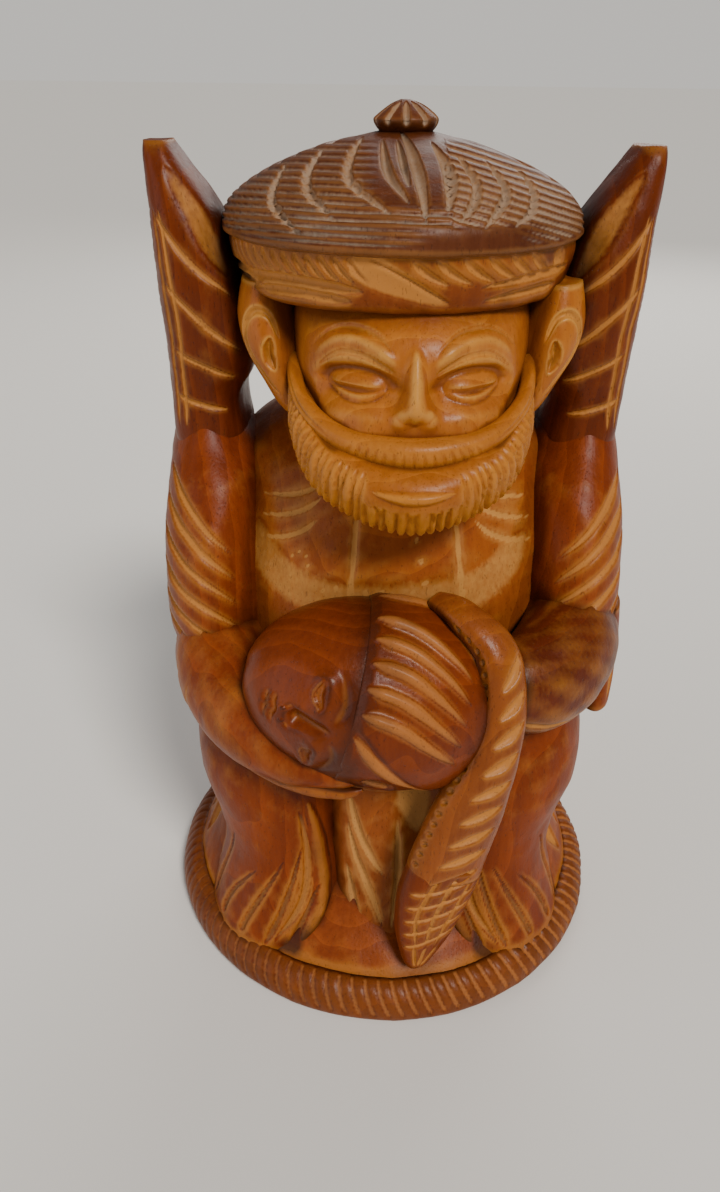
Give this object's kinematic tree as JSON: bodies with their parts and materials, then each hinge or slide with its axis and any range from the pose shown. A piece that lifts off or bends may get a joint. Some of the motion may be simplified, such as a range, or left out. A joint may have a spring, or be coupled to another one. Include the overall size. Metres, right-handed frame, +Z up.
{
  "type": "carved wooden figurine",
  "caption": "Carved wooden figurine on a round base: bearded man with tall wings and wound hat, in a robe, cradling a sleeping head with a plaited sash.",
  "frame": {"origin": "middle of the underside of the round base", "axes": "+Z up through the hat, the front of the figure faces -Y, the figure's left arm is at +X"},
  "size_m": [0.064, 0.064, 0.1084],
  "materials": {
    "oiled_body": "oiled and waxed, orange brown",
    "golden_face": "waxed, golden, rubbed lighter",
    "dark_hat": "dark stain with grey dust in the cuts",
    "red_brown": "polished red brown",
    "dark_edge": "dark brown, worn at the edges"
  },
  "bodies": {
    "root": {"base": "dark_edge", "robe_skirt": "oiled_body", "right_leg": "oiled_body", "left_leg": "oiled_body", "front_panel": "oiled_body", "torso": "oiled_body", "right_sleeve": "oiled_body", "left_sleeve": "oiled_body", "right_forearm": "oiled_body", "right_cuff": "oiled_body", "left_forearm": "dark_edge", "left_sleeve_drop": "oiled_body", "neck": "oiled_body", "head": "golden_face", "right_ear": "golden_face", "left_ear": "golden_face", "moustache": "golden_face", "beard": "golden_face", "hat_band": "oiled_body", "hat_crown": "dark_hat", "hat_finial": "dark_hat", "right_wing": "dark_edge", "left_wing": "dark_edge", "held_head": "red_brown", "held_hair": "red_brown", "sash": "oiled_body", "sash_end": "oiled_body"}
  },
  "joints": []
}
